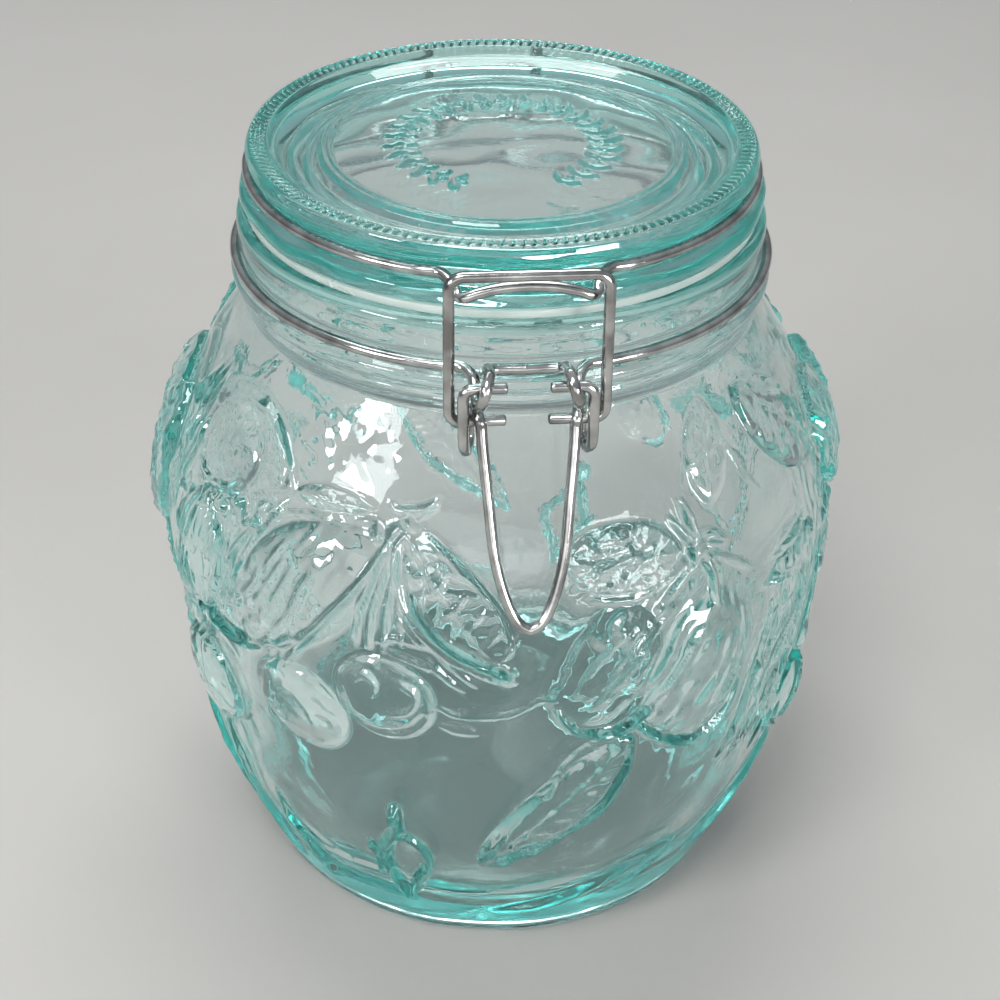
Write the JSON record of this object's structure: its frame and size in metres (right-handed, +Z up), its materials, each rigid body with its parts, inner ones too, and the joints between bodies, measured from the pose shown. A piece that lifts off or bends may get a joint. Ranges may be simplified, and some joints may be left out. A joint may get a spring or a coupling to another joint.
{
  "type": "lidded glass canister",
  "caption": "Round pressed-glass storage canister with fruit relief, a glass lid on a wire bail hinge, a soft seal ring and a wire toggle latch.",
  "frame": {"origin": "on the jar's axis, in the plane of the foot ring it stands on", "axes": "+Z up along the jar's axis; -Y towards the latch, +Y towards the lid's hinge; X along both hinge axes"},
  "size_m": [0.145, 0.1455, 0.1647],
  "materials": {
    "jar_glass": "clear pressed glass with a pale aqua tint, deeper in its thick edges",
    "lid_glass": "clear pressed glass with an aqua tint",
    "seal": "translucent soft seal ring",
    "wire_steel": "bright drawn stainless wire"
  },
  "bodies": {
    "jar": {"jar_body": "jar_glass", "neck_wire": "wire_steel"},
    "lid": {"lid": "lid_glass", "gasket": "seal", "lid_wire": "wire_steel"},
    "lever": {"latch_lever": "wire_steel"},
    "link": {"latch_link": "wire_steel"}
  },
  "joints": [
    {"name": "lid_hinge", "type": "hinge", "parent": "jar", "child": "lid", "pos_m": [0, 0.0592, 0.142], "axis": [-1, 0, 0], "range_deg": [0, 110]},
    {"name": "lever_pivot", "type": "hinge", "parent": "jar", "child": "lever", "pos_m": [0, -0.0592, 0.142], "axis": [-1, 0, 0], "range_deg": [0, 120]},
    {"name": "link_pivot", "type": "hinge", "parent": "lever", "child": "link", "pos_m": [0, -0.0573, 0.1343], "axis": [-1, 0, 0], "range_deg": [-144, 0]}
  ],
  "couplings": [
    {"joint": "link_pivot", "follows": "lever_pivot", "ratio": -1.2}
  ]
}
